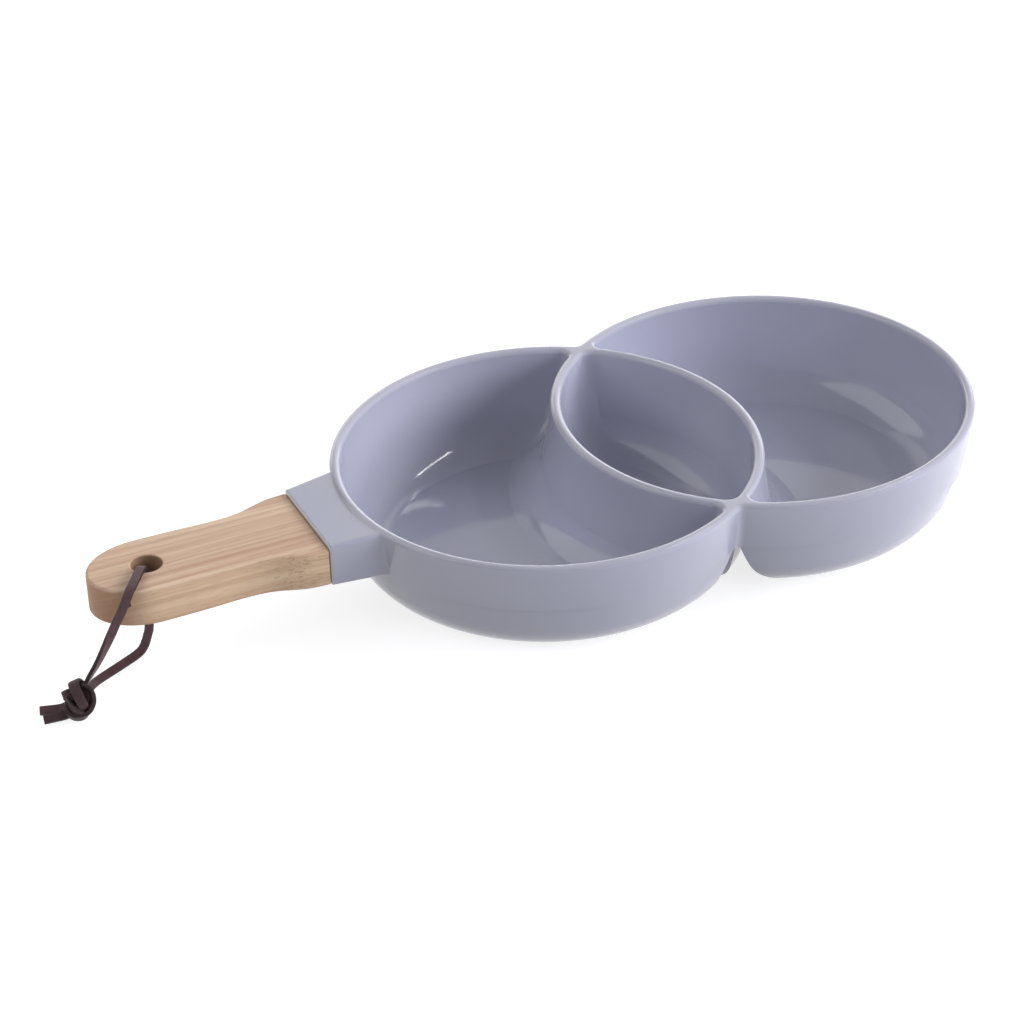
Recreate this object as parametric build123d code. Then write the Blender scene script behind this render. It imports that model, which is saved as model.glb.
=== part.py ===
"""Divided serving dish: two overlapping round bowls in one shell, a wooden handle and a leather lace.

Frame: +X runs from the handle to the far bowl, +Z is up, and the table is Z = 0. The origin is under the
middle of the dish and handle. All sizes are millimetres.
"""
import math
import os

from build123d import *

# The two bowls
RIM_RADIUS = 80.0  # outside radius of each bowl at its rim
OVERLAP_WIDTH = 70.0  # how far one bowl reaches into the other
RIM_HEIGHT = 43.0  # table to rim
WALL = 4.0  # ceramic at the rim and in the partitions
FLOOR = 5.0  # table to the floor of a compartment
FLOOR_LIFT = 0.2  # the floor stands this much above the foot of the inside wall's curve
WALL_CURVE = 95.0  # radius of the long curve of the outside wall
UNDER_CURVE = 20.0  # radius where the outside wall turns under
LIP_ROUND = 1.8  # rounding of every top edge
LENS_CORNER = 5.0  # upright corner of the middle compartment
HORN_CORNER = 4.0  # upright corner at the horns of a crescent
VALLEY_ROUND = 3.0  # outside, where one bowl runs into the other
GROOVE_SPREAD = 0.8  # the groove under a partition is this much wider, on each side, than the walls leave it
GROOVE_ROUND = 0.8  # top of that groove
FOOT_WIDTH = 5.0  # the rim of bare ceramic that the dish stands on
FOOT_RECESS = 0.8  # how far the base is hollowed inside that rim
FOOT_CORNER = 3.0  # corners of the hollow

# The collar that takes the handle
COLLAR_LENGTH = 14.9  # rim to the collar's end face
COLLAR_END_WIDTH = 44.2
COLLAR_ROOT_WIDTH = 48.0  # where it runs into the bowl
COLLAR_DROP = 1.8  # rim to the collar's top at its end
COLLAR_ROOT_DROP = 0.8  # rim to the collar's top where it runs into the bowl
COLLAR_THICKNESS = 16.5  # at its end
COLLAR_ROUND = 1.5  # its four long edges
COLLAR_END_ROUND = 0.8
COLLAR_BLEND = 2.0  # where it runs into the bowl

# The handle
GRIP_LENGTH = 82.0  # shoulder to the rounded end
HANDLE_DROP = 3.2  # rim to the handle's top
HANDLE_THICKNESS = 14.5
SHOULDER_WIDTH = 43.4  # at the collar
FLARE_WIDTH = 41.0  # where the shoulder begins to draw in
FLARE_LENGTH = 10.0  # shoulder to that place
NECK_WIDTH = 34.9  # where it has nearly drawn in
NECK_LENGTH = 18.7
WAIST_WIDTH = 32.6
WAIST_LENGTH = 32.0  # shoulder to the waist
GRIP_WIDTH = 34.0  # at the hanging hole
HANDLE_EASE = 1.0  # rounding of its long edges
HOLE_INSET = 21.8  # rounded end to the hanging hole's axis
HOLE_DIAMETER = 11.0
HOLE_EASE = 0.7
TENON_WIDTH = 32.0
TENON_THICKNESS = 7.6
TENON_LENGTH = 12.0
TENON_ROUND = 1.5
GLUE = 0.4  # adhesive all round the tenon and behind the shoulder
SEAM_DEPTH = 1.2  # how far the adhesive stays back in the open seam

# The lace
LACE_WIDTH = 3.2
LACE_THICKNESS = 1.6
LACE_ACROSS = (-0.84, 0.54, 0)  # along its width where it stands in the hanging hole
TAIL_ACROSS = (0.28, 0.96, 0)  # along the width of its tails
BEND_SHARE = 0.45  # of the shorter run beside a bend
KNOT_CORE = 4.4  # radius of the knot's middle
KNOT_TURNS = [  # radius, half thickness and lean of each turn of the lace about it
    (4.2, 1.7, (8, 5, 0)),
    (4.6, 1.65, (70, 25, 0)),
    (4.4, 1.75, (-60, 40, 0)),
]
# Places of the lace are counted from the foot of the hanging hole's axis
KNOT_CENTRE = (-35.35, -21.4, 6.2)
LACE_START = (-0.85, 0.2, 33.0)  # halfway through the hanging hole
UPPER_ROUTE = [
    LACE_START,
    (-1.15, -1.4, 38.2),
    (-3.05, -5.4, 42.8),
    (-6.75, -11.0, 44.0),
    (-11.15, -17.2, 43.8),
    (-14.05, -20.0, 40.9),
    (-15.75, -20.3, 36.2),
    (-17.75, -19.2, 30.2),
    (-21.75, -18.2, 22.6),
    (-27.15, -18.0, 14.8),
    (-32.75, -19.6, 8.8),
]
LOWER_ROUTE = [
    LACE_START,
    (-0.55, 1.8, 27.8),
    (-1.15, 1.5, 15.5),
    (-1.65, 2.1, 7.5),
    (-2.85, 2.5, 3.2),
    (-6.05, 1.6, 1.8),
    (-12.65, -1.5, 1.8),
    (-20.65, -5.2, 1.9),
    (-27.65, -9.6, 3.0),
    (-33.65, -17.5, 5.2),
]
BACK_TAIL_ROUTE = [(-37.65, -20.4, 4.8), (-43.15, -18.6, 3.9), (-48.75, -17.2, 3.2)]
FRONT_TAIL_ROUTE = [(-38.15, -23.4, 2.8), (-43.15, -22.4, 1.8), (-48.35, -21.4, 1.6)]

# Angles
QUARTER_TURN = 90
HALF_TURN = 180

# How edges are told apart
SAME_HEIGHT = 0.01  # closer than this counts as the same height
SHORT = 2.0  # an edge that runs less than this isn't a long edge

# Places that follow from the sizes above
BOWL_SPACING = 2 * RIM_RADIUS - OVERLAP_WIDTH  # between the upright axes of the two bowls
HANDLE_REACH = RIM_RADIUS + COLLAR_LENGTH + GLUE + GRIP_LENGTH  # near bowl's axis to the rounded end
NEAR_X = (HANDLE_REACH - BOWL_SPACING - RIM_RADIUS) / 2
FAR_X = NEAR_X + BOWL_SPACING
CROSSING_X = NEAR_X + BOWL_SPACING / 2
COLLAR_END_X = NEAR_X - RIM_RADIUS - COLLAR_LENGTH
COLLAR_TOP = RIM_HEIGHT - COLLAR_DROP
COLLAR_BOTTOM = COLLAR_TOP - COLLAR_THICKNESS
SHOULDER_X = COLLAR_END_X - GLUE
HANDLE_TOP = RIM_HEIGHT - HANDLE_DROP
HANDLE_BOTTOM = HANDLE_TOP - HANDLE_THICKNESS
HANDLE_END_X = SHOULDER_X - GRIP_LENGTH
HOLE_X = HANDLE_END_X + HOLE_INSET
TENON_Z = (COLLAR_TOP + COLLAR_BOTTOM) / 2
SOCKET_END_X = COLLAR_END_X + TENON_LENGTH + GLUE


def corner_centre(rim, curve, corner, bottom, side):
    """Centre of the arc that carries a wall's long curve over into its flat bottom."""
    rise = RIM_HEIGHT - bottom - corner
    run = math.sqrt((curve - corner) ** 2 - rise**2)
    return Vector(rim - side * (curve - run), bottom + corner)


def arc_about(centre, start, end):
    """The short arc about a centre from start to end."""
    middle = (start - centre) + (end - centre)
    radius = (start - centre).length
    return ThreePointArc(start, centre + middle.normalized() * radius, end)


def turned_wall(rim, curve, corner, bottom, top, side=1):
    """A solid of revolution inside a curved wall that draws in with depth, or spreads where side is -1."""
    wall_centre = Vector(rim - side * curve, RIM_HEIGHT)
    under_centre = corner_centre(rim, curve, corner, bottom, side)
    joint = wall_centre + (under_centre - wall_centre).normalized() * curve
    rim_point = Vector(rim, RIM_HEIGHT)
    foot = Vector(under_centre.X, bottom)
    outline = [
        arc_about(wall_centre, rim_point, joint),
        arc_about(under_centre, joint, foot),
        Polyline(foot, (0, bottom), (0, top), (rim, top)),
    ]
    if top > RIM_HEIGHT:
        outline.append(Line((rim, top), rim_point))
    return revolve(Plane.XZ * make_face(outline), Axis.Z)


def at_near(shape):
    """Places a shape on the axis of the bowl beside the handle."""
    return Pos(NEAR_X, 0, 0) * shape


def at_far(shape):
    """Places a shape on the axis of the bowl at the far end."""
    return Pos(FAR_X, 0, 0) * shape


def climbing_edges(shape):
    """The edges that run down a corner between two walls, and not the seams on the plane Y = 0."""
    return [
        edge
        for edge in shape.edges()
        if abs((edge @ 1).Z - (edge @ 0).Z) > SHORT and abs(edge.center().Y) > SHORT
    ]


def compartments():
    """The lens that both bowls share, and the crescent that each bowl has alone."""
    above = RIM_HEIGHT + WALL
    low = FLOOR - FLOOR_LIFT
    inner = turned_wall(RIM_RADIUS - WALL, WALL_CURVE - WALL, UNDER_CURVE - WALL, low, above)
    beside = turned_wall(RIM_RADIUS, WALL_CURVE - WALL, UNDER_CURVE - WALL, low, above, side=-1)
    floor = Plane.XY.offset(FLOOR)
    lens = split(at_near(inner) & at_far(inner), floor, keep=Keep.TOP)
    lens = fillet(climbing_edges(lens), LENS_CORNER)
    near_crescent = split(at_near(inner) - at_far(beside), floor, keep=Keep.TOP)
    near_crescent = fillet(climbing_edges(near_crescent), HORN_CORNER)
    far_crescent = mirror(near_crescent, Plane.YZ.offset(CROSSING_X))
    return [lens, near_crescent, far_crescent]


def rim_edges(shape):
    """The edges that lie in the plane of the rim."""
    return [edge for edge in shape.edges() if edge.bounding_box().min.Z > RIM_HEIGHT - SAME_HEIGHT]


def outer_form():
    """Two overlapping bowls with rounded valleys and rim, and a groove under each partition."""
    bowl = turned_wall(RIM_RADIUS, WALL_CURVE, UNDER_CURVE, 0, RIM_HEIGHT)
    outside = RIM_RADIUS - WALL + GROOVE_SPREAD
    inside = RIM_RADIUS - GROOVE_SPREAD
    groove = turned_wall(outside, WALL_CURVE, UNDER_CURVE, 0, RIM_HEIGHT, side=-1)
    groove -= turned_wall(inside, WALL_CURVE, UNDER_CURVE, 0, RIM_HEIGHT)
    groove = fillet(groove.edges().sort_by(Axis.Z)[-1], GROOVE_ROUND)
    form = at_near(bowl) + at_far(bowl)
    form = fillet(climbing_edges(form), VALLEY_ROUND)
    form = fillet(rim_edges(form), LIP_ROUND)
    return form - at_far(groove) - at_near(groove)


def foot_hollows():
    """Shallow hollows in the base: one inside each crescent's foot rim, and the whole base of the lens."""
    flat = corner_centre(RIM_RADIUS, WALL_CURVE, UNDER_CURVE, 0, 1).X - FOOT_WIDTH
    beside = corner_centre(RIM_RADIUS - WALL, WALL_CURVE, UNDER_CURVE, 0, -1).X + FOOT_WIDTH
    groove_middle = RIM_RADIUS - WALL / 2
    crescent = Pos(NEAR_X, 0) * Circle(flat) - Pos(FAR_X, 0) * Circle(beside)
    crescent = fillet(crescent.vertices(), FOOT_CORNER)
    lens = Pos(NEAR_X, 0) * Circle(groove_middle) & Pos(FAR_X, 0) * Circle(groove_middle)
    near_hollow = extrude(crescent, FOOT_RECESS)
    far_hollow = mirror(near_hollow, Plane.YZ.offset(CROSSING_X))
    return [near_hollow, far_hollow, extrude(lens, FOOT_RECESS)]


def collar_section(x, width, top):
    """An upright rounded rectangle across the collar, with its top at a height."""
    height = top - COLLAR_BOTTOM
    plane = Plane(origin=(x, 0, COLLAR_BOTTOM + height / 2), x_dir=(0, 1, 0), z_dir=(1, 0, 0))
    return plane * RectangleRounded(width, height, COLLAR_ROUND)


def collar():
    """The block that stands out of the near bowl, wider and higher at the bowl's wall than at its end."""
    root_x = NEAR_X - RIM_RADIUS
    inside_x = NEAR_X - RIM_RADIUS / 2
    share = (inside_x - COLLAR_END_X) / (root_x - COLLAR_END_X)
    inside_width = COLLAR_END_WIDTH + share * (COLLAR_ROOT_WIDTH - COLLAR_END_WIDTH)
    inside_top = COLLAR_TOP + share * (COLLAR_DROP - COLLAR_ROOT_DROP)
    end_section = collar_section(COLLAR_END_X, COLLAR_END_WIDTH, COLLAR_TOP)
    inside_section = collar_section(inside_x, inside_width, inside_top)
    block = loft([end_section, inside_section], ruled=True)
    block = fillet(block.faces().sort_by(Axis.X)[0].edges(), COLLAR_END_ROUND)
    half_wall = WALL / 2
    mid_wall = turned_wall(
        RIM_RADIUS - half_wall,
        WALL_CURVE - half_wall,
        UNDER_CURVE - half_wall,
        FLOOR / 2,
        2 * RIM_HEIGHT,
    )
    return block - at_near(mid_wall)


def tenon_bar(gap, start_x, end_x):
    """A rounded bar on the tenon's line, larger than the tenon by a gap all round."""
    section = RectangleRounded(TENON_WIDTH + 2 * gap, TENON_THICKNESS + 2 * gap, TENON_ROUND + gap)
    plane = Plane(origin=(start_x, 0, TENON_Z), x_dir=(0, 1, 0), z_dir=(1, 0, 0))
    return extrude(plane * section, end_x - start_x)


def dish():
    """The ceramic: outer form less the compartments, with rounded lips, the collar, foot and socket."""
    body = outer_form()
    for space in compartments():
        body -= space
    top_face = body.faces().filter_by(Axis.Z).sort_by(Axis.Z)[-1]
    inner_lips = [edge for loop in top_face.inner_wires() for edge in loop.edges()]
    body = fillet(inner_lips, LIP_ROUND)
    block = collar()
    joined = body + block
    body = fillet(new_edges(body, block, combined=joined), COLLAR_BLEND)
    for hollow in foot_hollows():
        body -= hollow
    return body - tenon_bar(GLUE, COLLAR_END_X - GLUE, SOCKET_END_X)


def handle():
    """The wooden grip with its hanging hole, and the tenon that goes into the collar."""
    shoulder_y = SHOULDER_WIDTH / 2
    grip_y = GRIP_WIDTH / 2
    side = Spline(
        (SHOULDER_X, shoulder_y),
        (SHOULDER_X - FLARE_LENGTH, FLARE_WIDTH / 2),
        (SHOULDER_X - NECK_LENGTH, NECK_WIDTH / 2),
        (SHOULDER_X - WAIST_LENGTH, WAIST_WIDTH / 2),
        (HOLE_X, grip_y),
        tangents=[(-1, 0), (-1, 0)],
    )
    end = EllipticalCenterArc((HOLE_X, 0), HOLE_INSET, grip_y, start_angle=QUARTER_TURN, arc_size=HALF_TURN)
    shoulder = Line((SHOULDER_X, -shoulder_y), (SHOULDER_X, shoulder_y))
    plan = make_face([side, end, mirror(side, Plane.XZ), shoulder])
    grip = Pos(0, 0, HANDLE_BOTTOM) * extrude(plan, HANDLE_THICKNESS)
    flat_faces = [grip.faces().sort_by(Axis.Z)[0], grip.faces().sort_by(Axis.Z)[-1]]
    edges = [edge for face in flat_faces for edge in face.edges()]
    long_edges = [edge for edge in edges if edge.center().X < SHOULDER_X - GLUE]
    grip = fillet(long_edges, HANDLE_EASE)
    grip -= Pos(HOLE_X, 0, HANDLE_BOTTOM) * extrude(Circle(HOLE_DIAMETER / 2), HANDLE_THICKNESS)
    circles = grip.edges().filter_by(GeomType.CIRCLE)
    grip = fillet(circles.filter_by(lambda edge: edge.radius < HOLE_DIAMETER), HOLE_EASE)
    return grip + tenon_bar(0, SHOULDER_X, COLLAR_END_X + TENON_LENGTH)


def adhesive():
    """The glue: a sleeve round the tenon, closed at its end, with a flange behind the wood's shoulder."""
    sleeve = tenon_bar(GLUE, SHOULDER_X, SOCKET_END_X)
    flange_width = SHOULDER_WIDTH - 2 * SEAM_DEPTH
    flange_height = HANDLE_THICKNESS - 2 * SEAM_DEPTH
    flange = RectangleRounded(flange_width, flange_height, SEAM_DEPTH)
    handle_z = (HANDLE_TOP + HANDLE_BOTTOM) / 2
    plane = Plane(origin=(SHOULDER_X, 0, handle_z), x_dir=(0, 1, 0), z_dir=(1, 0, 0))
    return sleeve + extrude(plane * flange, GLUE) - tenon_bar(0, SHOULDER_X, COLLAR_END_X + TENON_LENGTH)


def bend_radii(route):
    """For each inner point of a route, the largest arc that its two runs allow."""
    points = [Vector(*point) for point in route]
    radii = []
    for before, corner, after in zip(points, points[1:], points[2:]):
        turn = math.radians((corner - before).get_angle(after - corner))
        shorter = min((corner - before).length, (after - corner).length)
        radii.append(BEND_SHARE * shorter / math.tan(turn / 2))
    return radii


def lace(route, across):
    """A flat strip along a route of straight runs and tangent arcs; across is its width at the start."""
    radii = bend_radii(route)
    path = Pos(HOLE_X, 0, 0) * FilletPolyline(*route, radius=radii)
    section = Plane(origin=path @ 0, x_dir=across, z_dir=path % 0) * Rectangle(LACE_WIDTH, LACE_THICKNESS)
    print("lace length", round(path.length, 1), "radii", [round(radius, 1) for radius in radii])
    return sweep(section, path)


def knot():
    """An overhand knot drawn tight: a round middle with three turns of the lace about it."""
    turns = [Rot(*lean) * Torus(radius, half) for radius, half, lean in KNOT_TURNS]
    return Pos(HOLE_X, 0, 0) * Pos(*KNOT_CENTRE) * (Sphere(KNOT_CORE) + turns)


def main():
    """Builds every piece and writes one STEP file for each."""
    tied = knot()
    pieces = {
        "dish": dish(),
        "handle": handle(),
        "handle_adhesive": adhesive(),
        "lace_knot": tied,
        "lace_upper_strand": lace(UPPER_ROUTE, LACE_ACROSS) - tied,
        "lace_lower_strand": lace(LOWER_ROUTE, LACE_ACROSS) - tied,
        "lace_back_tail": lace(BACK_TAIL_ROUTE, TAIL_ACROSS) - tied,
        "lace_front_tail": lace(FRONT_TAIL_ROUTE, TAIL_ACROSS) - tied,
    }
    os.makedirs("parts", exist_ok=True)
    for name, piece in pieces.items():
        export_step(piece, os.path.join("parts", name + ".step"))


main()
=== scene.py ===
# %% [markdown]
# # A divided serving dish with a wooden handle
# The dish is two overlapping ceramic bowls in one glazed shell, with a wooden handle glued into a collar
# and a leather lace to hang it by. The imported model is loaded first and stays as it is: it says where
# everything goes. Sizes below are millimetres, as a maker would write them, and are turned into metres
# when a mesh is made.

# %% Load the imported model
import math

import bmesh
import bpy
import numpy as np
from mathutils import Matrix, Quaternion, Vector


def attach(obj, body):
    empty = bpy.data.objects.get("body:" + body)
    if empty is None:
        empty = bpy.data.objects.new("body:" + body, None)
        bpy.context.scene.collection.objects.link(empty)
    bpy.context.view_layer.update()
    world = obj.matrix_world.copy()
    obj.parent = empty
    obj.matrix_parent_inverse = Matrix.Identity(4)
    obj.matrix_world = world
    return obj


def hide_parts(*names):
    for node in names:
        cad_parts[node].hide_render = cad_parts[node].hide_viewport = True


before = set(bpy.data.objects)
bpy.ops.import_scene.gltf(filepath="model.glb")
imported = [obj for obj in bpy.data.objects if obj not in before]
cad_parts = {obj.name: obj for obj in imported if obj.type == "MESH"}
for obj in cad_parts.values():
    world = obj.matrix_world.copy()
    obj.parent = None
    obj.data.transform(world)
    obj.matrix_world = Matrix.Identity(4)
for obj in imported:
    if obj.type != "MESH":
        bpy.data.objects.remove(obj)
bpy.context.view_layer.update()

MM = 0.001
scene = bpy.context.scene
scene.view_settings.view_transform = "Standard"
print("nodes", sorted(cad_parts))

# %% [markdown]
# ## The camera
# The photograph looks down on the dish from the handle's side, with a long lens, so the two rims stay
# nearly alike in size. The camera is given by its place, the point it looks at and a small roll, and its
# lens by the focal length on the usual 36 mm sensor.

# %% Place the camera
CAMERA_PLACE = (-0.40335, -0.8858, 0.6277)
CAMERA_AIM = (-0.0117, -0.0015, 0.0215)
CAMERA_ROLL = math.radians(-1.844)
CAMERA_LENS = 108.75
CAMERA_NEAR = 0.01  # nearer than this the camera sees nothing

camera_data = bpy.data.cameras.new("photo_camera")
camera_data.lens = CAMERA_LENS
camera_data.clip_start = CAMERA_NEAR
camera = bpy.data.objects.new("photo_camera", camera_data)
look = Vector(CAMERA_AIM) - Vector(CAMERA_PLACE)
camera.rotation_mode = "QUATERNION"
camera.rotation_quaternion = look.to_track_quat("-Z", "Y") @ Quaternion((0, 0, 1), CAMERA_ROLL)
camera.location = CAMERA_PLACE
scene.collection.objects.link(camera)
scene.camera = camera
print("camera looks", [round(value, 3) for value in look.normalized()])

# %% [markdown]
# ## Meshes from arrays
# Every new piece is worked out as whole arrays of points. Rows of points, each row a closed ring, become
# a tube of four-sided faces. One small helper numbers the faces and another puts points and faces into a
# mesh.

# %% Helpers that turn rings of points into meshes


def tube_faces(rows, columns):
    """Corner numbers of the four-sided faces between neighbouring rows of points, each row a ring."""
    row = np.arange(rows - 1)[:, None]
    column = np.arange(columns)[None, :]
    next_row = row + 1
    next_column = (column + 1) % columns
    corners = [
        row * columns + column,
        next_row * columns + column,
        next_row * columns + next_column,
        row * columns + next_column,
    ]
    return np.stack(np.broadcast_arrays(*corners), axis=-1).reshape(-1, 4)


def mesh_piece(name, points_mm, faces):
    """A smooth mesh object at the origin, from points in millimetres and the corner numbers of faces."""
    mesh = bpy.data.meshes.new(name)
    mesh.from_pydata((np.asarray(points_mm) * MM).tolist(), [], [list(face) for face in faces])
    work = bmesh.new()
    work.from_mesh(mesh)
    bmesh.ops.recalc_face_normals(work, faces=work.faces)
    work.to_mesh(mesh)
    work.free()
    mesh.shade_smooth()
    piece = bpy.data.objects.new(name, mesh)
    scene.collection.objects.link(piece)
    print(name, len(mesh.vertices), "points", len(mesh.polygons), "faces")
    return piece


# %% [markdown]
# ## The lace
# The lace is one flat strip of dark leather, 3.2 mm wide, that goes through the hanging hole and is
# closed by a knot on the table. A swept curve would twist a flat strip as it pleases. So each strand's
# line is a NURBS curve with listed control points, its points are read back from the curve, and a
# flat section is carried along them with its width turned where the photograph shows it turn.

# %% The lines of the two strands
HOLE_MIDDLE = (-152.7, 0.2, 33.0)
UPPER_LINE = [
    HOLE_MIDDLE,
    (-153.2, -0.6, 37.5),
    (-154.6, -3.4, 41.2),
    (-156.9, -6.8, 41.4),
    (-161.2, -13.1, 41.4),
    (-163.8, -16.5, 41.0),
    (-166.2, -16.8, 36.0),
    (-169.5, -16.2, 29.7),
    (-173.3, -14.9, 21.2),
    (-178.0, -16.9, 15.6),
    (-181.9, -17.6, 11.3),
    (-185.5, -19.4, 8.0),
    (-189.0, -20.2, 5.0),
    (-192.7, -19.6, 3.2),
    (-196.5, -18.1, 2.9),
    (-200.2, -16.7, 2.7),
]
LOWER_LINE = [
    HOLE_MIDDLE,
    (-152.2, 1.5, 27.0),
    (-152.2, 1.6, 19.0),
    (-152.9, 1.5, 11.3),
    (-153.6, 1.7, 9.3),
    (-154.4, 1.9, 6.6),
    (-155.3, 1.9, 4.7),
    (-156.4, 2.0, 3.0),
    (-157.9, 1.8, 2.2),
    (-159.6, 1.1, 1.9),
    (-161.4, 0.3, 1.8),
    (-165.5, -1.8, 1.8),
    (-169.5, -3.9, 1.9),
    (-177.2, -9.0, 3.0),
    (-181.5, -15.2, 5.5),
    (-185.6, -20.0, 6.0),
    (-189.2, -23.0, 3.8),
    (-192.3, -23.1, 2.6),
    (-196.4, -22.3, 2.3),
    (-200.4, -21.5, 2.0),
]
LINE_ORDER = 3
LINE_STEPS = 10  # points read back for each control point


def strand_line(name, control_mm):
    """Points along the NURBS curve of a strand's control points, read from the curve itself, and its
    length."""
    curve = bpy.data.curves.new(name, "CURVE")
    curve.dimensions = "3D"
    spline = curve.splines.new("NURBS")
    spline.points.add(len(control_mm) - 1)
    for point, place in zip(spline.points, control_mm):
        point.co = (*place, 1.0)
    spline.order_u = LINE_ORDER
    spline.use_endpoint_u = True
    spline.resolution_u = LINE_STEPS
    holder = bpy.data.objects.new(name, curve)
    line_mesh = bpy.data.meshes.new_from_object(holder)
    line = np.array([vertex.co[:] for vertex in line_mesh.vertices])
    bpy.data.objects.remove(holder)
    bpy.data.meshes.remove(line_mesh)
    length = np.linalg.norm(np.diff(line, axis=0), axis=1).sum()
    print(name, len(line), "points", round(length, 1), "mm long")
    return line, length


upper_line, upper_length = strand_line("upper_strand_line", UPPER_LINE)
lower_line, lower_length = strand_line("lower_strand_line", LOWER_LINE)

# %% [markdown]
# A flat strip needs more than a line: it needs the way its width points. The width is given at a few
# places along the strand and turned evenly between them. At the hole it lies along the handle's rounded
# end, beside the knot the upper strand shows its thin edge, and the tails face the front. Each point also
# keeps how near it is to the strip's cut edge, so that the leather can be darker there. In the knot and
# the front tail the same value is raised, to paint shade on them.

# %% The flat strips of the two strands
LACE_WIDTH = 3.2
LACE_THICKNESS = 1.6
SECTION_POINTS = 28
SECTION_POWER = 0.35  # under 1, the oval section is squared up
SHARP_ANGLE = math.radians(60)
NICK_PLACE = 29.0  # along the upper strand, where a sliver stands out of its edge
NICK_LENGTH = 0.45
NICK_SIZE = 0.9
NICK_REACH = 0.9  # the share of the half width past which the edge is pushed out
CUT_EDGE = 0.86  # the share of the half width at which the dark cut edge begins
DARKENED = 0.94  # the edge share painted on the knot and the front tail as shade
DARKENING = 0.2  # the share of a strand's length over which that comes on
NOT_DARKENED = 2.0  # a share past the end of any strip
BY_KNOT = 0.75  # the share of the lower strand's length where its painted shade is full
DARK_ALL_OVER = 0.0
ACROSS_HOLE = (-0.84, 0.54, 0.0)
ACROSS_TURNING = (-0.77, -0.43, 0.46)
ACROSS_EDGE_ON = (-0.45, -0.72, 0.53)
ACROSS_LYING = (-0.2, 0.75, 0.6)
ACROSS_TAIL = (0.1, 0.75, 0.65)
ACROSS_BACK_TAIL = (-0.1, -0.83, -0.53)


def flat_section():
    """A squared-up oval: cosine and sine raised to a power, from -1 to 1 across and through the strip."""
    angle = np.linspace(0, 2 * np.pi, SECTION_POINTS, endpoint=False)
    across = np.sign(np.cos(angle)) * np.abs(np.cos(angle)) ** SECTION_POWER
    through = np.sign(np.sin(angle)) * np.abs(np.sin(angle)) ** SECTION_POWER
    return across, through


def strip_points(line, width_keys, width=LACE_WIDTH, nick=None):
    """The flat section carried along a line. The width's direction is turned evenly between keys, each a
    share of the length and a direction, and squared to the line; the thickness is square to both. A nick
    pushes one edge out by a bell curve along the line."""
    step = np.linalg.norm(np.diff(line, axis=0), axis=1)
    walked = np.concatenate([[0], np.cumsum(step)])
    key_share = [key[0] for key in width_keys]
    key_width = np.array([key[1] for key in width_keys])
    share = walked / walked[-1]
    side = np.stack([np.interp(share, key_share, key_width[:, axis]) for axis in range(3)], axis=1)
    along = np.gradient(line, axis=0)
    along /= np.linalg.norm(along, axis=1, keepdims=True)
    side -= along * np.sum(side * along, axis=1, keepdims=True)
    side /= np.linalg.norm(side, axis=1, keepdims=True)
    face = np.cross(along, side)
    across, through = flat_section()
    spread = np.broadcast_to(across * width / 2, (len(line), SECTION_POINTS))
    if nick:
        bell = np.exp(-(((walked - NICK_PLACE) / NICK_LENGTH) ** 2))
        spread = spread + nick * NICK_SIZE * bell[:, None] * (across * nick > NICK_REACH)
    height = through * LACE_THICKNESS / 2
    return line[:, None] + side[:, None] * spread[..., None] + face[:, None] * height[:, None]


def strip_faces(rows):
    """The faces along a strip, and one flat face on each of its two cut ends."""
    first_end = np.arange(SECTION_POINTS)[::-1]
    last_end = np.arange(SECTION_POINTS) + (rows - 1) * SECTION_POINTS
    return [*tube_faces(rows, SECTION_POINTS), first_end, last_end]


def leather_piece(name, strips, dark_from=NOT_DARKENED):
    """One object from several strips, with the nearness to a cut edge kept at every point. Past a share of
    its length, each strip counts as nearly an edge all over, as painted shade on the knot and the front
    tail."""
    faces = []
    count = 0
    for strip in strips:
        faces += [face + count for face in strip_faces(len(strip))]
        count += strip.shape[0] * SECTION_POINTS
    points = np.concatenate([strip.reshape(-1, 3) for strip in strips])
    piece = mesh_piece(name, points, faces)
    piece.data.set_sharp_from_angle(angle=SHARP_ANGLE)
    across = flat_section()[0]
    share = np.concatenate([np.linspace(0, 1, len(strip)) for strip in strips])
    # Painted shade: past dark_from, every point of a strip is pushed towards the dark edge colour.
    painted_knot_shade = np.interp(share, (dark_from - DARKENING, dark_from), (CUT_EDGE, DARKENED))
    edge = piece.data.attributes.new("edge", "FLOAT", "POINT")
    edge.data.foreach_set("value", np.maximum(np.abs(across), painted_knot_shade[:, None]).ravel())
    return piece


upper_widths = [
    (0, ACROSS_HOLE),
    (0.45, ACROSS_HOLE),
    (0.6, ACROSS_TURNING),
    (0.72, ACROSS_EDGE_ON),
    (0.85, ACROSS_BACK_TAIL),
    (1, ACROSS_BACK_TAIL),
]
lower_widths = [
    (0, ACROSS_HOLE),
    (0.3, ACROSS_HOLE),
    (0.5, ACROSS_LYING),
    (0.85, ACROSS_TAIL),
    (1, ACROSS_TAIL),
]
upper_strand = leather_piece("leather_upper_strand", [strip_points(upper_line, upper_widths, nick=-1)])
lower_strand = leather_piece("leather_lower_strand", [strip_points(lower_line, lower_widths)], BY_KNOT)

# %% [markdown]
# The knot is an overhand knot that both strands go through. What the eye reads in it is the way the flat
# strip turns over: one turn lies flat across the front, one goes round the bottom on its edge, a short
# one crosses between them, and a fold sticks out to the left. Each turn is a strip of its own. Its points
# are given as steps to the right, up and towards the viewer from the middle of the knot, and its ends are
# hidden inside.

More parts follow.
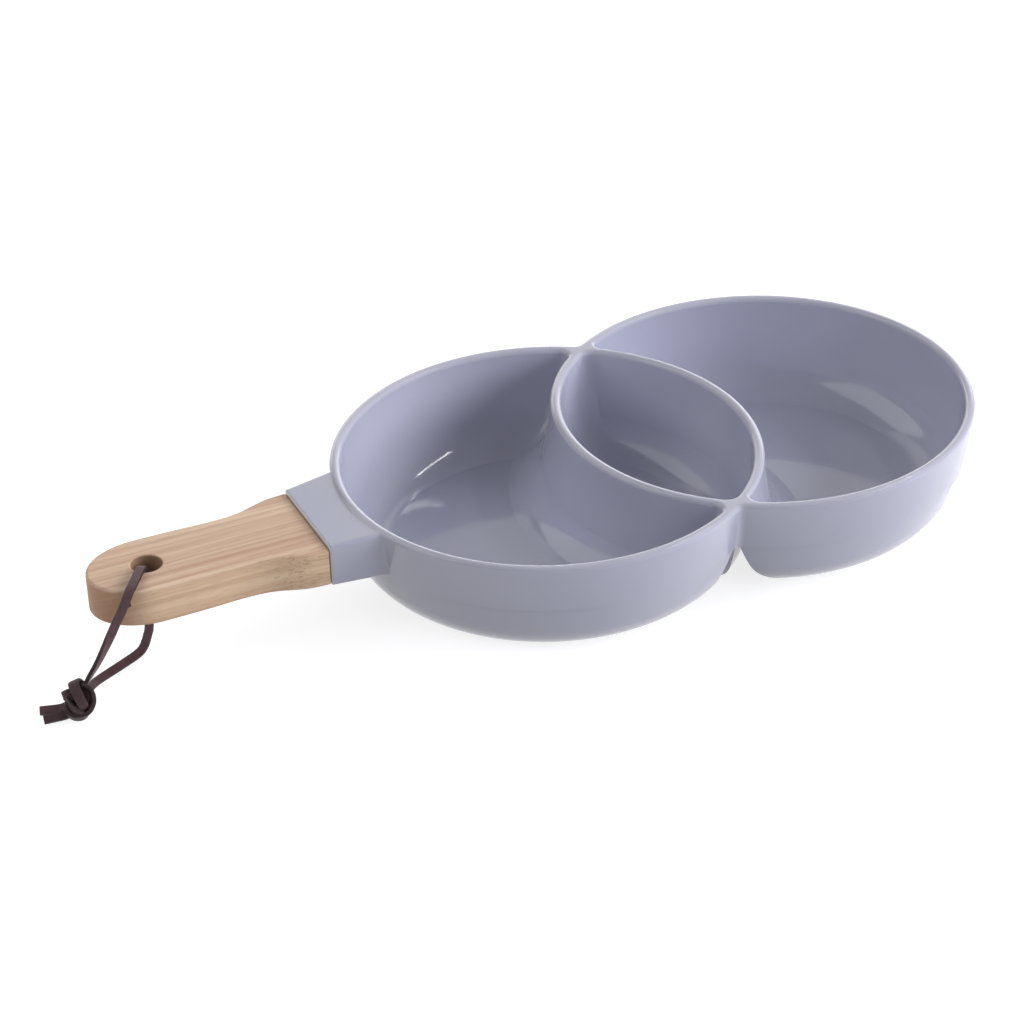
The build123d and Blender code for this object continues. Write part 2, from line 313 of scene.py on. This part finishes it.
# %% The turns of the knot
KNOT_CENTRE = np.array([-187.2, -21.4, 6.4])
KNOT_AXES = np.array([(0.907, -0.42, -0.027), (0.244, 0.472, 0.847), (-0.343, -0.775, 0.531)])
KNOT_TURNS = {
    "front": (
        [(1.5, 3.6, -3.0), (-0.8, 6.0, -2.6), (-1.8, 6.1, 1.0), (-1.3, 4.8, 3.2), (0.2, 2.0, 4.2),
         (1.6, -1.0, 4.1), (2.5, -3.0, 3.0), (2.4, -3.8, 0.5)],
        [(0, (0.9, 0.4, 0)), (0.6, (0.9, 0.4, 0)), (1, (0.75, 0.3, -0.6))],
    ),
    "bottom": (
        [(1.0, 4.4, -0.5), (3.4, 3.7, 0.4), (4.9, 1.4, 1.2), (5.0, -1.8, 2.0), (3.6, -4.9, 2.5),
         (0.6, -6.4, 2.7), (-2.4, -5.8, 2.7), (-4.0, -3.6, 2.4), (-3.6, -1.0, 1.8), (-1.5, 0.4, 0.6)],
        [(0, (0.6, 0.2, 0.7)), (0.3, (0.65, 0.0, 0.75)), (0.55, (0.2, 0.5, 0.8)), (1, (-0.3, 0, 0.9))],
    ),
    "between": (
        [(-3.9, -0.4, 1.6), (-2.7, -1.8, 3.3), (-0.8, -3.5, 3.9), (1.1, -4.8, 3.4), (2.2, -5.3, 1.8)],
        [(0, (0.45, 0.6, 0.65)), (1, (0.45, 0.6, 0.65))],
    ),
    "fold": (
        [(-0.6, 2.8, 0.6), (-2.8, 2.4, 1.8), (-4.5, 1.7, 1.6), (-5.0, 1.2, 0.4), (-4.3, 1.1, -1.0),
         (-2.2, 1.4, -1.8)],
        [(0, (-0.3, 0.9, 0.1)), (1, (-0.3, 0.9, 0.1))],
    ),
    "back": (
        [(2.4, -3.2, 0.8), (1.6, -3.0, -2.4), (-1.0, -0.8, -4.0), (-2.2, 2.2, -3.6), (-0.6, 4.4, -2.2)],
        [(0, (0.8, 0.5, 0)), (1, (0.8, 0.5, 0))],
    ),
    "middle": (
        [(2.0, 3.6, -0.4), (1.9, 1.2, 0.4), (1.2, -1.2, 0.8), (0.0, -3.6, 0.8)],
        [(0, (0.95, 0.2, 0.2)), (1, (0.95, 0.2, 0.2))],
    ),
}
KNOT_WIDTHS = {"front": 3.7, "middle": 5.6}


def knot_turn(name):
    """The strip of one turn, carried from the knot's own axes to the place of the knot."""
    steps, width_keys = KNOT_TURNS[name]
    line = strand_line("knot_" + name, KNOT_CENTRE + np.array(steps) @ KNOT_AXES)[0]
    turned_keys = [(share, np.array(direction) @ KNOT_AXES) for share, direction in width_keys]
    return strip_points(line, turned_keys, KNOT_WIDTHS.get(name, LACE_WIDTH))


knot = leather_piece("leather_knot", [knot_turn(name) for name in KNOT_TURNS], DARK_ALL_OVER)

# %% [markdown]
# ## Finishes
# Glaze, wood, leather and glue each get a material that is worked out from the place on the object, so
# that it needs no picture files. An effect that several finishes share is built once, as a node group:
# here a soft mottle, which is noise brought into the range 0 to 1.

# %% A node group for mottling
MOTTLE_SCALE = 40.0
MOTTLE_DETAIL = 4.0
MOTTLE_RANGE = (0.3, 0.7)  # the noise that becomes 0 and 1


def link(tree, source, target):
    """Joins one socket to another in a node tree."""
    tree.links.new(source, target)


def soft_mottle_group():
    """A group that turns a position into a smooth mask from 0 to 1, at a given scale and detail."""
    group = bpy.data.node_groups.new("soft_mottle", "ShaderNodeTree")
    group.interface.new_socket("Position", in_out="INPUT", socket_type="NodeSocketVector")
    scale = group.interface.new_socket("Scale", in_out="INPUT", socket_type="NodeSocketFloat")
    scale.default_value = MOTTLE_SCALE
    detail = group.interface.new_socket("Detail", in_out="INPUT", socket_type="NodeSocketFloat")
    detail.default_value = MOTTLE_DETAIL
    group.interface.new_socket("Mask", in_out="OUTPUT", socket_type="NodeSocketFloat")
    entry = group.nodes.new("NodeGroupInput")
    leave = group.nodes.new("NodeGroupOutput")
    noise = group.nodes.new("ShaderNodeTexNoise")
    stretch = group.nodes.new("ShaderNodeMapRange")
    stretch.inputs["From Min"].default_value = MOTTLE_RANGE[0]
    stretch.inputs["From Max"].default_value = MOTTLE_RANGE[1]
    link(group, entry.outputs["Position"], noise.inputs["Vector"])
    link(group, entry.outputs["Scale"], noise.inputs["Scale"])
    link(group, entry.outputs["Detail"], noise.inputs["Detail"])
    link(group, noise.outputs["Fac"], stretch.inputs["Value"])
    link(group, stretch.outputs["Result"], leave.inputs["Mask"])
    return group


soft_mottle = soft_mottle_group()


def new_finish(name):
    """A material with its node tree, its shader and the object's own coordinates."""
    material = bpy.data.materials.new(name)
    material.use_nodes = True
    tree = material.node_tree
    shader = tree.nodes["Principled BSDF"]
    place = tree.nodes.new("ShaderNodeTexCoord").outputs["Object"]
    return material, tree, shader, place


def mottle(tree, position, scale, detail):
    """Places the mottle group in a material and gives its mask."""
    node = tree.nodes.new("ShaderNodeGroup")
    node.node_tree = soft_mottle
    node.inputs["Scale"].default_value = scale
    node.inputs["Detail"].default_value = detail
    link(tree, position, node.inputs["Position"])
    return node.outputs["Mask"]


def mix_colours(tree, mask, first, second):
    """Mixes two colours, or sockets that carry colours, by a mask."""
    node = tree.nodes.new("ShaderNodeMix")
    node.data_type = "RGBA"
    link(tree, mask, node.inputs["Factor"])
    for value, socket in ((first, node.inputs["A"]), (second, node.inputs["B"])):
        if isinstance(value, bpy.types.NodeSocket):
            link(tree, value, socket)
        else:
            socket.default_value = (*value, 1)
    return node.outputs["Result"]


def value_between(tree, mask, low, high):
    """Carries a mask from 0 to 1 over to values from low to high."""
    node = tree.nodes.new("ShaderNodeMapRange")
    node.inputs["To Min"].default_value = low
    node.inputs["To Max"].default_value = high
    link(tree, mask, node.inputs["Value"])
    return node.outputs["Result"]


def raised(tree, shader, height, distance, strength):
    """A bump from a height mask, in metres, fed to the shader's normal."""
    node = tree.nodes.new("ShaderNodeBump")
    node.inputs["Distance"].default_value = distance
    node.inputs["Strength"].default_value = strength
    link(tree, height, node.inputs["Height"])
    link(tree, node.outputs["Normal"], shader.inputs["Normal"])


def stretched(tree, position, scale, shift=(0.0, 0.0, 0.0)):
    """The same place with each direction scaled by its own number, to draw out a pattern along one."""
    node = tree.nodes.new("ShaderNodeMapping")
    node.inputs["Scale"].default_value = scale
    node.inputs["Location"].default_value = shift
    link(tree, position, node.inputs["Vector"])
    return node.outputs["Vector"]


def drawn_out(tree, position, scale, detail):
    """A mottle drawn out along one direction. The stretch sets its whole scale, so the mottle adds none."""
    return mottle(tree, stretched(tree, position, scale), 1.0, detail)


def mask_along(tree, position, axis, start, end):
    """A mask that goes from 0 to 1 between two places on one axis, in metres."""
    parts = tree.nodes.new("ShaderNodeSeparateXYZ")
    link(tree, position, parts.inputs["Vector"])
    ramp = tree.nodes.new("ShaderNodeMapRange")
    ramp.interpolation_type = "SMOOTHSTEP"
    ramp.inputs["From Min"].default_value = start
    ramp.inputs["From Max"].default_value = end
    link(tree, parts.outputs[axis], ramp.inputs["Value"])
    return ramp.outputs["Result"]


def turned(tree, position, angle):
    """The same place turned about the long axis of the object."""
    node = tree.nodes.new("ShaderNodeMapping")
    node.inputs["Rotation"].default_value = (angle, 0.0, 0.0)
    link(tree, position, node.inputs["Vector"])
    return node.outputs["Vector"]


def product(tree, first, second):
    """Two masks multiplied, so that both must be high."""
    node = tree.nodes.new("ShaderNodeMath")
    node.operation = "MULTIPLY"
    link(tree, first, node.inputs[0])
    link(tree, second, node.inputs[1])
    return node.outputs["Value"]


# %% [markdown]
# ### Glaze
# A glossy lavender-grey glaze on a pale body. The glaze pools and thins a little, so its colour is
# mottled very softly, and a clear coat gives the sharp reflections. On the lips the glaze is painted a
# little paler: partly the glaze running thin there, partly a painted highlight along the rims. On the
# sharp end of the collar it runs thin and the pale clay shows through. The ring that the dish stands on
# is bare, or it would stick to the kiln. Those places are found by their height, or by their distance
# along the dish.

# %% The glaze
GLAZE = (0.372, 0.377, 0.475)
GLAZE_THIN = (0.392, 0.396, 0.49)
# the lips are paler partly from thin glaze and partly as a painted highlight
GLAZE_LIP_AND_HIGHLIGHT = (0.4, 0.4, 0.475)
CLAY = (0.66, 0.62, 0.57)
POOL_SCALE = 22.0
POOL_DETAIL = 2.0
GRIT_SCALE = 900.0
GRIT_DETAIL = 3.0
GRIT_HEIGHT = 0.00002
GRIT_STRENGTH = 0.15
LIP_HEIGHTS = (0.0411, 0.0428)  # metres, where the paler lip band (thin glaze and painted highlight) begins and where it is full
COLLAR_END = (-0.0908, -0.0912)
FOOT_HEIGHTS = (0.0004, 0.0001)
GLAZE_ROUGHNESS = 0.12
CLAY_ROUGHNESS = 0.8
COAT = 0.5
COAT_ROUGHNESS = 0.03

glaze, tree, shader, place = new_finish("lavender_glaze")
cloud = mottle(tree, place, POOL_SCALE, POOL_DETAIL)
pooled = mix_colours(tree, cloud, GLAZE, GLAZE_THIN)
# Painted highlight, with thin glaze: the top of the rim is mixed towards a paler colour.
thin_lip_and_highlight = mask_along(tree, place, "Z", *LIP_HEIGHTS)
lip_thinned_and_highlighted = mix_colours(tree, thin_lip_and_highlight, pooled, GLAZE_LIP_AND_HIGHLIGHT)
collar_edge = mask_along(tree, place, "X", *COLLAR_END)
edged = mix_colours(tree, collar_edge, lip_thinned_and_highlighted, CLAY)
foot = mask_along(tree, place, "Z", *FOOT_HEIGHTS)
clay_grit = mottle(tree, place, GRIT_SCALE, GRIT_DETAIL)
coloured = mix_colours(tree, foot, edged, CLAY)
link(tree, coloured, shader.inputs["Base Color"])
bare_roughness = value_between(tree, foot, GLAZE_ROUGHNESS, CLAY_ROUGHNESS)
link(tree, bare_roughness, shader.inputs["Roughness"])
link(tree, value_between(tree, foot, COAT, 0.0), shader.inputs["Coat Weight"])
shader.inputs["Coat Roughness"].default_value = COAT_ROUGHNESS
raised(tree, shader, clay_grit, GRIT_HEIGHT, GRIT_STRENGTH)
print("glaze", len(tree.nodes), "nodes")

# %% [markdown]
# ### Wood
# The handle is a pale, straight-grained wood cut along its length. Noise drawn out along the handle gives
# the stripes of the growth rings, a broader change of tone and the fine fibres. The rings lie nearly flat
# in the board, so they are closer together on its sides than on its top. Short dark flecks are its pores,
# which come thickest on the near side by the collar. The long sides are painted a little paler than the
# top, as painted light, because they get less light. The cut end is darker, and the inside of the hanging
# hole is darkened with painted shade.

# %% The wood
WOOD_PALE = (0.78, 0.61, 0.44)
WOOD_TAN = (0.445, 0.265, 0.175)
# paler colour painted on the long sides, as painted light
WOOD_SIDE_PAINTED_LIGHT = (0.86, 0.63, 0.39)
WOOD_PORE = (0.27, 0.13, 0.065)
# dark colour painted inside the hanging hole as painted shade
WOOD_HOLE_SHADE = (0.2, 0.115, 0.065)
WOOD_END = (0.38, 0.19, 0.1)
HOLE_AXIS = (0.15185, 0.0, 0.0)  # brings the axis of the hanging hole to the middle
RING_LEAN = math.radians(28)  # growth rings lie nearly flat in the board
RINGS = (5.0, 45.0, 620.0)  # scales along the handle, across it and upwards
FINE_RINGS = (6.0, 110.0, 1600.0)
TONE = (4.0, 25.0, 170.0)
FIBRES = (45.0, 1900.0, 1900.0)
PORES = (160.0, 1700.0, 1700.0)
FINE_DETAIL = 3.0
BROAD_DETAIL = 2.0
RING_SHARE = (0.0, 0.9)  # how much of the darker colour the lightest and the darkest places take
FINE_RING_SHARE = (-0.2, 0.5)
TONE_SHARE = (0.0, 0.25)
FIBRE_SHARE = (0.0, 0.25)
SIDE_LIGHT_SHARE = (0.0, 0.3)
PORE_SHARE = (-1.0, 0.8)
CLUSTER_SHARE = (0.2, 0.62)
END_SHARE = (0.0, 0.75)
TOP_EDGE = (0.0394, 0.0386)  # metres, where each of these masks begins and where it is full
NEAR_SIDE = (-0.014, -0.0195)
BY_COLLAR = (-0.122, -0.108)
FAR_OUT = (-0.155, -0.171)
HOLE_WALL = (0.0060, 0.0054)
WOOD_ROUGHNESS = (0.5, 0.62)
FIBRE_HEIGHT = 0.00005
FIBRE_STRENGTH = 0.6

wood, tree, shader, place = new_finish("pale_wood")
board = turned(tree, place, RING_LEAN)
rings = drawn_out(tree, board, RINGS, FINE_DETAIL)
tone = drawn_out(tree, board, TONE, BROAD_DETAIL)
fibres = drawn_out(tree, place, FIBRES, FINE_DETAIL)
pores = drawn_out(tree, place, PORES, BROAD_DETAIL)
fine_rings = drawn_out(tree, board, FINE_RINGS, BROAD_DETAIL)
ringed = mix_colours(tree, value_between(tree, rings, *RING_SHARE), WOOD_PALE, WOOD_TAN)
lined = mix_colours(tree, value_between(tree, fine_rings, *FINE_RING_SHARE), ringed, WOOD_TAN)
toned = mix_colours(tree, value_between(tree, tone, *TONE_SHARE), lined, WOOD_TAN)
grained = mix_colours(tree, value_between(tree, fibres, *FIBRE_SHARE), toned, WOOD_TAN)
under_top = mask_along(tree, place, "Z", *TOP_EDGE)
# Painted light: below the top edge, the long sides are mixed towards a paler colour.
side_lightened = mix_colours(tree, value_between(tree, under_top, *SIDE_LIGHT_SHARE), grained, WOOD_SIDE_PAINTED_LIGHT)
near_side = mask_along(tree, place, "Y", *NEAR_SIDE)
by_collar = mask_along(tree, place, "X", *BY_COLLAR)
cluster = product(tree, near_side, by_collar)
fleck_depth = value_between(tree, pores, *PORE_SHARE)
fleck = product(tree, fleck_depth, value_between(tree, cluster, *CLUSTER_SHARE))
speckled = mix_colours(tree, fleck, side_lightened, WOOD_PORE)
far_out = mask_along(tree, place, "X", *FAR_OUT)
end_grain = value_between(tree, product(tree, far_out, under_top), *END_SHARE)
ended = mix_colours(tree, end_grain, speckled, WOOD_END)
# Painted shade: inside the radius of the hanging hole the colour goes dark.
about_hole = tree.nodes.new("ShaderNodeVectorMath")
about_hole.operation = "LENGTH"
flattened = stretched(tree, place, (1.0, 1.0, 0.0), HOLE_AXIS)
link(tree, flattened, about_hole.inputs[0])
hole_shade = tree.nodes.new("ShaderNodeMapRange")
hole_shade.inputs["From Min"].default_value = HOLE_WALL[0]
hole_shade.inputs["From Max"].default_value = HOLE_WALL[1]
link(tree, about_hole.outputs["Value"], hole_shade.inputs["Value"])
hole_shaded = mix_colours(tree, hole_shade.outputs["Result"], ended, WOOD_HOLE_SHADE)
link(tree, hole_shaded, shader.inputs["Base Color"])
link(tree, value_between(tree, fibres, *WOOD_ROUGHNESS), shader.inputs["Roughness"])
raised(tree, shader, fibres, FIBRE_HEIGHT, FIBRE_STRENGTH)
print("wood", len(tree.nodes), "nodes")

# %% [markdown]
# ### Leather
# Flat lace with a waxed face: purple-brown, with a fine pebble in it and a slightly dull surface. Its cut
# edges are darker, which the strips' own "edge" values say. The same values carry painted shade on the
# knot and the front tail, with the same dark colour.

# %% The leather
LEATHER = (0.108, 0.052, 0.06)
LEATHER_WORN = (0.07, 0.035, 0.04)
# dark colour of the cut edges, and also of the painted shade on the knot and the front tail
LEATHER_EDGE_AND_SHADE = (0.026, 0.015, 0.017)
CUT_FULL = 0.99  # the share of the half width at which the cut edge is fully dark
PATCH_SCALE = 350.0
PATCH_DETAIL = 4.0
PEBBLE_SCALE = 1800.0
PEBBLE_DETAIL = 2.0
PEBBLE_HEIGHT = 0.00008
PEBBLE_STRENGTH = 0.7
LEATHER_ROUGHNESS = (0.45, 0.65)

leather, tree, shader, place = new_finish("brown_leather")
patches = mottle(tree, place, PATCH_SCALE, PATCH_DETAIL)
pebble = mottle(tree, place, PEBBLE_SCALE, PEBBLE_DETAIL)
edge_and_shade_value = tree.nodes.new("ShaderNodeAttribute")
edge_and_shade_value.attribute_name = "edge"
cut = tree.nodes.new("ShaderNodeMapRange")
cut.inputs["From Min"].default_value = CUT_EDGE
cut.inputs["From Max"].default_value = CUT_FULL
link(tree, edge_and_shade_value.outputs["Fac"], cut.inputs["Value"])
worn = mix_colours(tree, patches, LEATHER, LEATHER_WORN)
# The dark colour covers the cut edges and the painted shade on the knot and the front tail.
link(tree, mix_colours(tree, cut.outputs["Result"], worn, LEATHER_EDGE_AND_SHADE), shader.inputs["Base Color"])
link(tree, value_between(tree, pebble, *LEATHER_ROUGHNESS), shader.inputs["Roughness"])
raised(tree, shader, pebble, PEBBLE_HEIGHT, PEBBLE_STRENGTH)
print("leather", len(tree.nodes), "nodes")

# %% [markdown]
# ### Glue
# The set glue shows only as a dark line deep in the seam between wood and collar.

# %% The glue
GLUE = (0.16, 0.12, 0.085)
GLUE_DARK = (0.07, 0.05, 0.035)
GLUE_ROUGHNESS = 0.6
STAIN_SCALE = 400.0
STAIN_DETAIL = 3.0
STAIN_HEIGHT = 0.0001
STAIN_STRENGTH = 0.5

glue, tree, shader, place = new_finish("set_glue")
stain = mottle(tree, place, STAIN_SCALE, STAIN_DETAIL)
link(tree, mix_colours(tree, stain, GLUE, GLUE_DARK), shader.inputs["Base Color"])
shader.inputs["Roughness"].default_value = GLUE_ROUGHNESS
raised(tree, shader, stain, STAIN_HEIGHT, STAIN_STRENGTH)
print("glue", len(tree.nodes), "nodes")

# %% [markdown]
# ## Dressing the pieces
# The dish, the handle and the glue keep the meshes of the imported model, because their shapes are right,
# and take the new finishes. The lace's strips stand for its plain solids.

# %% Give the finishes to the pieces


def dress(piece, material):
    """Gives a piece one material."""
    piece.data.materials.clear()
    piece.data.materials.append(material)


dress(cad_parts["dish"], glaze)
dress(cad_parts["handle"], wood)
dress(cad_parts["handle_adhesive"], glue)
for piece in (upper_strand, lower_strand, knot):
    dress(piece, leather)
    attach(piece, "lace")
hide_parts("lace_upper_strand", "lace_back_tail")
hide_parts("lace_lower_strand", "lace_front_tail")
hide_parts("lace_knot")

# %% [markdown]
# The lace is a free cord; the lengths of its two strands are printed.

print("cords", round(upper_length, 1), round(lower_length, 1))

# %% [markdown]
# ## The studio
# The photograph has a white ground without an edge. A large floor gives the dish light from below and
# takes a faint shadow. To the camera, and in reflections, it adds a glow that brings it up to white.

# %% The floor
FLOOR_REACH = 30000.0
FLOOR_SHADE = (0.43, 0.43, 0.43)
FLOOR_GLOW = 0.79
FLOOR_ROUGHNESS = 0.9

floor_points = np.array([(-1, -1, 0), (1, -1, 0), (1, 1, 0), (-1, 1, 0)]) * FLOOR_REACH
floor = mesh_piece("white_floor", floor_points, [(0, 1, 2, 3)])
floor_finish, tree, shader, _ = new_finish("white_ground")
shader.inputs["Base Color"].default_value = (*FLOOR_SHADE, 1)
shader.inputs["Roughness"].default_value = FLOOR_ROUGHNESS
shader.inputs["Specular IOR Level"].default_value = 0.0
light_path = tree.nodes.new("ShaderNodeLightPath")
mirrored = tree.nodes.new("ShaderNodeMath")
mirrored.operation = "ADD"
link(tree, light_path.outputs["Is Glossy Ray"], mirrored.inputs[0])
link(tree, light_path.outputs["Is Transmission Ray"], mirrored.inputs[1])
seen = tree.nodes.new("ShaderNodeMath")
seen.operation = "ADD"
seen.use_clamp = True
link(tree, light_path.outputs["Is Camera Ray"], seen.inputs[0])
link(tree, mirrored.outputs[0], seen.inputs[1])
glow = tree.nodes.new("ShaderNodeMath")
glow.operation = "MULTIPLY"
glow.inputs[1].default_value = FLOOR_GLOW
link(tree, seen.outputs[0], glow.inputs[0])
shader.inputs["Emission Color"].default_value = (1, 1, 1, 1)
link(tree, glow.outputs[0], shader.inputs["Emission Strength"])
dress(floor, floor_finish)

# %% [markdown]
# ### Light
# A large soft lamp stands low on the right, so faces turned that way are bright and the rest fall off
# gently. A second one stands nearer the camera and a weak one beyond the end of the handle. These three
# are hidden from reflections, as a photographer would flag them off, because the photograph shows no
# trace of them in the glaze. Behind on the left is a window-like panel, which the far walls and the
# floors do reflect. A pale card behind the dish, brighter at its foot, is mirrored by the lips and the
# top of the collar. A thin strip, high on the right, draws the bright streak where wall and floor meet.
# Each lamp is given by its direction round the dish, its height above the table in degrees, its width and
# height in metres and its power. The surroundings are an even grey that pales towards the horizon, so
# that no edge of the floor shows in the walls of the dish.

# %% The lamps and the surroundings
LAMP_DISTANCE = 1.8
DISH_MIDDLE = Vector((0.0, 0.0, 0.03))
LAMPS = {
    "right_panel": (-10, 22, 1.8, 0.8, 37.0),
    "front_panel": (-58, 22, 1.2, 0.8, 15.2),
    "left_panel": (180, 28, 1.2, 0.8, 4.5),
    "window_panel": (150, 40, 2.4, 1.3, 10.5),
    "backdrop_card": (70, 37, 1.6, 0.7, 2.1),
    "backdrop_foot": (66, 14, 2.4, 0.7, 8.0),
    "streak_strip": (-16, 50, 0.95, 0.06, 2.4),
}
HIDDEN_IN_GLAZE = ("right_panel", "front_panel", "left_panel")
PLAIN_TINT = (1.0, 1.0, 1.0)
LAMP_TINTS = {"right_panel": (1.0, 1.0, 0.985), "front_panel": (0.96, 0.97, 1.08)}
SURROUND = (0.225, 0.225, 0.23)
HORIZON = (0.5, 0.5, 0.5)
HORIZON_TOP = 0.24

for name, (azimuth, height, wide, tall, power) in LAMPS.items():
    data = bpy.data.lights.new(name, "AREA")
    data.shape = "RECTANGLE"
    data.size = wide
    data.size_y = tall
    data.energy = power
    data.color = LAMP_TINTS.get(name, PLAIN_TINT)
    lamp = bpy.data.objects.new(name, data)
    lamp.visible_glossy = name not in HIDDEN_IN_GLAZE
    turn = math.radians(azimuth)
    rise = math.radians(height)
    flat = math.cos(rise)
    toward = Vector((flat * math.cos(turn), flat * math.sin(turn), math.sin(rise)))
    lamp.location = DISH_MIDDLE + toward * LAMP_DISTANCE
    lamp.rotation_mode = "QUATERNION"
    lamp.rotation_quaternion = (-toward).to_track_quat("-Z", "Y")
    scene.collection.objects.link(lamp)

world = bpy.data.worlds.new("studio")
world.use_nodes = True
tree = world.node_tree
heading = tree.nodes.new("ShaderNodeTexCoord").outputs["Generated"]
above_horizon = mask_along(tree, heading, "Z", 0.0, HORIZON_TOP)
sky = mix_colours(tree, above_horizon, HORIZON, SURROUND)
link(tree, sky, tree.nodes["Background"].inputs["Color"])
scene.world = world
print("lamps", sorted(LAMPS))
